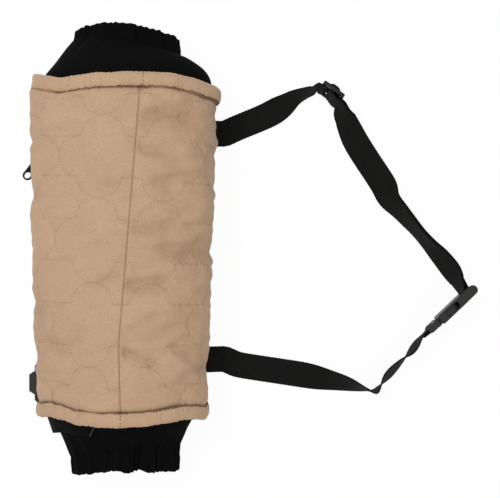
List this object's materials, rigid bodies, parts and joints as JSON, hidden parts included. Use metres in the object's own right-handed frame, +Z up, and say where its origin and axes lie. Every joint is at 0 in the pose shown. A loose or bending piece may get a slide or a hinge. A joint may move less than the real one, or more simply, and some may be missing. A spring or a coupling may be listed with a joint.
{
  "type": "hand warmer muff",
  "caption": "Quilted tube muff with gathered fleece cuffs, a zipped pocket, a ladder lock and an adjustable webbing waist strap closed by a side release buckle.",
  "frame": {"origin": "middle of the flat back that the muff lies on", "axes": "+Z up out of the back towards the crown, +Y along the hand passage towards the upper cuff, +X towards the strap side"},
  "size_m": [0.4348, 0.4146, 0.0973],
  "materials": {
    "brushed_shell": "brushed peach-skin cloth, matte",
    "padding": "fibre batting",
    "black_fleece": "short pile fleece",
    "elastic": "woven elastic",
    "pocket_cloth": "plain woven lining",
    "zip_tape": "woven tape",
    "zip_plastic": "moulded teeth",
    "painted_zip": "black enamel",
    "black_webbing": "woven polypropylene webbing",
    "black_plastic": "moulded acetal, satin"
  },
  "bodies": {
    "muff": {"shell_left_panel": "brushed_shell", "shell_right_panel": "brushed_shell", "batting": "padding", "lining": "black_fleece", "upper_hem": "brushed_shell", "lower_hem": "brushed_shell", "upper_cuff": "black_fleece", "lower_cuff": "black_fleece", "upper_cuff_elastic": "elastic", "lower_cuff_elastic": "elastic", "pocket_bag": "pocket_cloth", "zip_tape_left": "zip_tape", "zip_tape_right": "zip_tape", "zip_teeth_left": "zip_plastic", "zip_teeth_right": "zip_plastic", "zip_stops": "zip_plastic", "upper_anchor": "black_webbing", "lower_anchor": "black_webbing", "ladder_lock_tab": "black_webbing", "hem_tape_tab": "black_webbing"},
    "strap": {"long_strap": "black_webbing", "strap_return": "black_webbing", "short_strap": "black_webbing", "buckle_socket": "black_plastic"},
    "adjuster": {"tri_glide": "black_plastic"},
    "plug": {"buckle_plug": "black_plastic"},
    "prong_a": {"prong_upper": "black_plastic"},
    "prong_b": {"prong_lower": "black_plastic"},
    "slider": {"zip_slider": "painted_zip"},
    "puller": {"zip_puller": "painted_zip"},
    "ladder": {"ladder_lock": "black_plastic"}
  },
  "joints": [
    {"name": "strap_swing", "type": "hinge", "parent": "muff", "child": "strap", "pos_m": [0.088, 0, 0.0064], "axis": [0, -1, 0], "range_deg": [0, 75]},
    {"name": "adjuster_slide", "type": "slide", "parent": "strap", "child": "adjuster", "axis": [0.809, -0.5878, 0], "range_m": [0, 0.02], "deforming": ["long_strap", "strap_return"]},
    {"name": "plug_pull", "type": "slide", "parent": "strap", "child": "plug", "axis": [-0.7254, -0.6884, 0], "range_m": [0, 0.045], "deforming": ["short_strap", "prong_upper", "prong_lower"]},
    {"name": "prong_upper_squeeze", "type": "hinge", "parent": "plug", "child": "prong_a", "pos_m": [0.29489, -0.06925, 0.02972], "axis": [-0.6825, 0.7192, -0.1305], "range_deg": [0, 8], "stiffness_Nm_per_rad": 1.2},
    {"name": "prong_lower_squeeze", "type": "hinge", "parent": "plug", "child": "prong_b", "pos_m": [0.29715, -0.07163, 0.00484], "axis": [0.6825, -0.7192, 0.1305], "range_deg": [0, 8], "stiffness_Nm_per_rad": 1.2},
    {"name": "zip_run", "type": "slide", "parent": "muff", "child": "slider", "axis": [0.0156, -0.9999, 0], "range_m": [0, 0.16], "deforming": ["zip_teeth_left", "zip_teeth_right"]},
    {"name": "puller_swing", "type": "hinge", "parent": "slider", "child": "puller", "pos_m": [-0.07776, 0.09466, 0.01052], "axis": [-0.6307, 0.4902, 0.6016], "range_deg": [-16, 20]},
    {"name": "ladder_tilt", "type": "hinge", "parent": "muff", "child": "ladder", "pos_m": [-0.0715, -0.129, 0.0056], "axis": [0, 1, 0], "range_deg": [-8, 50]}
  ]
}
